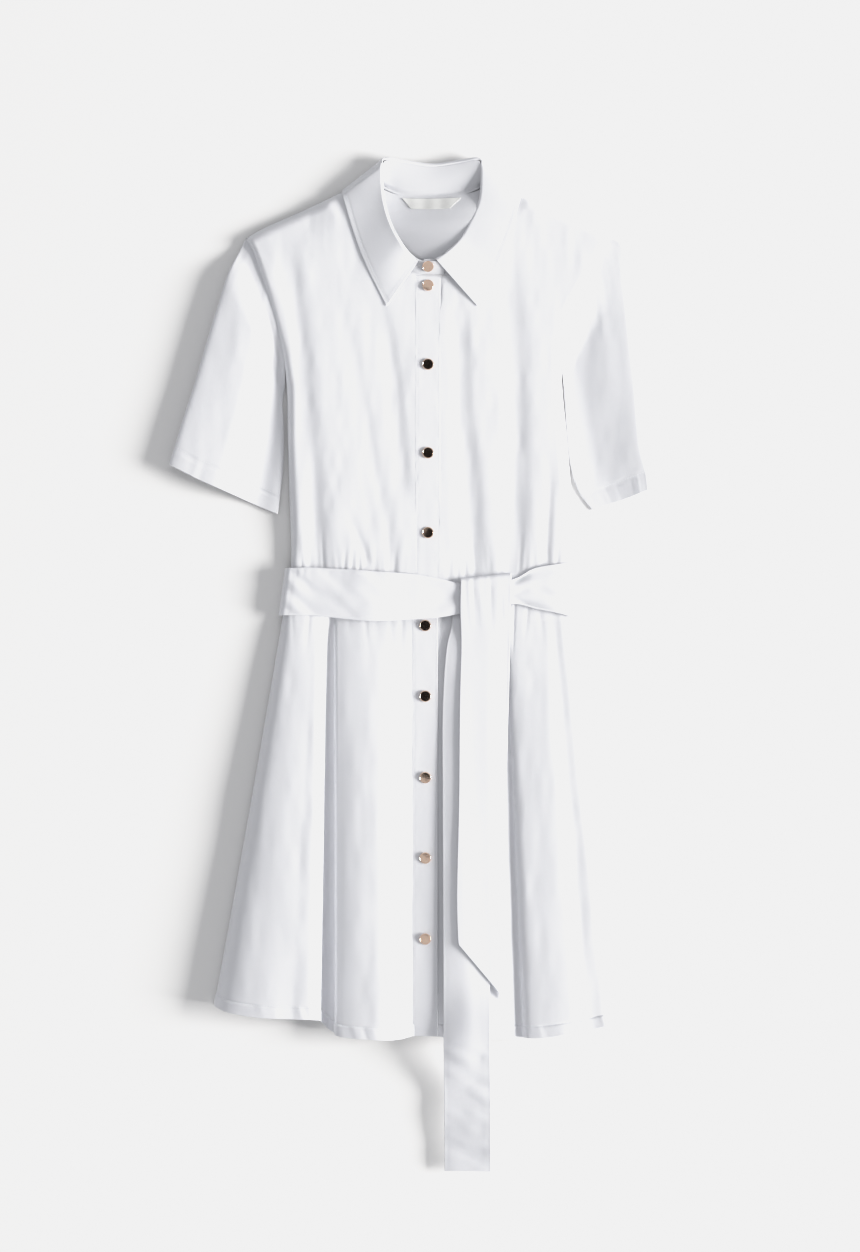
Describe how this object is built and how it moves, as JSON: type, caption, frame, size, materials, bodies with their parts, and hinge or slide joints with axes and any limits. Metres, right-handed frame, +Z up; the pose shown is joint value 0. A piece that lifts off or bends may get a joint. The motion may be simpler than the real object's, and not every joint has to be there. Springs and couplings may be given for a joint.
{
  "type": "shirt dress",
  "caption": "Short-sleeved white cotton shirt dress with a pointed collar, metal buttons, a flared skirt and a tied fabric belt, laid flat.",
  "frame": {"origin": "waist centre on the surface that the dress lies on, on the flat underside of the belt's back run", "axes": "+Y from the hem to the collar, +X to the side of the under front (the right in a view from above with the collar up), +Z up off the surface"},
  "size_m": [0.4945, 1.0438, 0.0306],
  "materials": {
    "cloth": "matte",
    "button_metal": "polished",
    "label_tape": "satin"
  },
  "bodies": {
    "root": {"back_bodice": "cloth", "back_skirt": "cloth", "front_bodice_left": "cloth", "front_bodice_right": "cloth", "front_skirt_left": "cloth", "front_skirt_right": "cloth", "placket_bodice": "cloth", "placket_skirt": "cloth", "sleeve_left": "cloth", "sleeve_right": "cloth", "collar_stand": "cloth", "collar_fall": "cloth", "neck_label": "label_tape", "belt_band": "cloth", "belt_tail_upper": "cloth", "belt_tail_lower": "cloth", "button_01": "button_metal", "button_02": "button_metal", "button_03": "button_metal", "button_04": "button_metal", "button_05": "button_metal", "button_06": "button_metal", "button_07": "button_metal", "button_08": "button_metal", "button_09": "button_metal", "button_10": "button_metal"}
  },
  "joints": []
}
